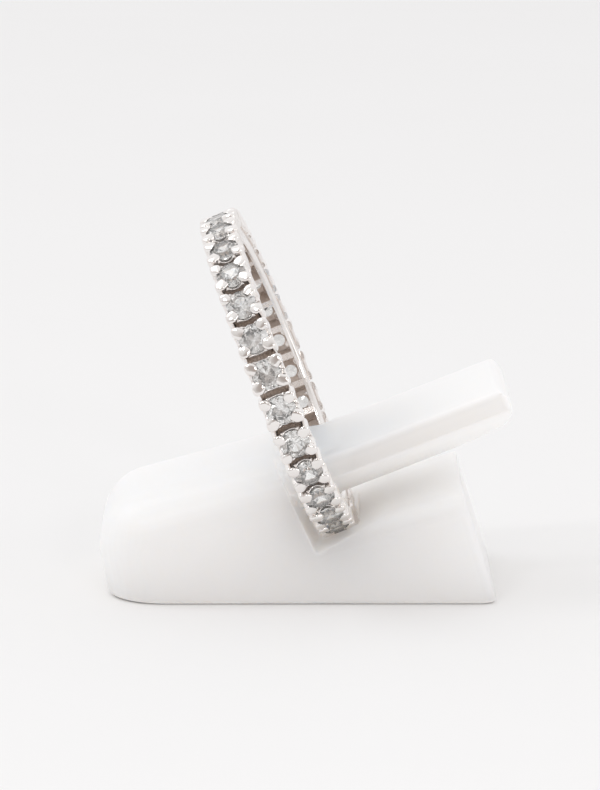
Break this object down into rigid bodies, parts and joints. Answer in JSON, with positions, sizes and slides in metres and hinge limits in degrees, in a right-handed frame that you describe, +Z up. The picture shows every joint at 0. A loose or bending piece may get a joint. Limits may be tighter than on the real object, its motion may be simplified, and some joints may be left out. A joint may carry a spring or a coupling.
{
  "type": "eternity ring on a display stand",
  "caption": "Full eternity ring of white metal with claw-set round stones in square collets, held upright on a plain moulded clip stand.",
  "frame": {"origin": "middle of the bounding box, on the flat underside of the stand", "axes": "+Z up, +X along the stand from its nose to the tip of its tongue, +Y across the stand"},
  "size_m": [0.0256, 0.0214, 0.0236],
  "materials": {
    "white_metal": "polished white gold with satin recesses",
    "white_plastic": "smooth moulded white plastic, slightly translucent",
    "stone": "clear cut stone"
  },
  "bodies": {
    "root": {"setting": "white_metal", "stand": "white_plastic", "stone_01": "stone", "stone_02": "stone", "stone_03": "stone", "stone_04": "stone", "stone_05": "stone", "stone_06": "stone", "stone_07": "stone", "stone_08": "stone", "stone_09": "stone", "stone_10": "stone", "stone_11": "stone", "stone_12": "stone", "stone_13": "stone", "stone_14": "stone", "stone_15": "stone", "stone_16": "stone", "stone_17": "stone", "stone_18": "stone", "stone_19": "stone", "stone_20": "stone", "stone_21": "stone", "stone_22": "stone", "stone_23": "stone", "stone_24": "stone", "stone_25": "stone", "stone_26": "stone", "stone_27": "stone", "stone_28": "stone"}
  },
  "joints": []
}
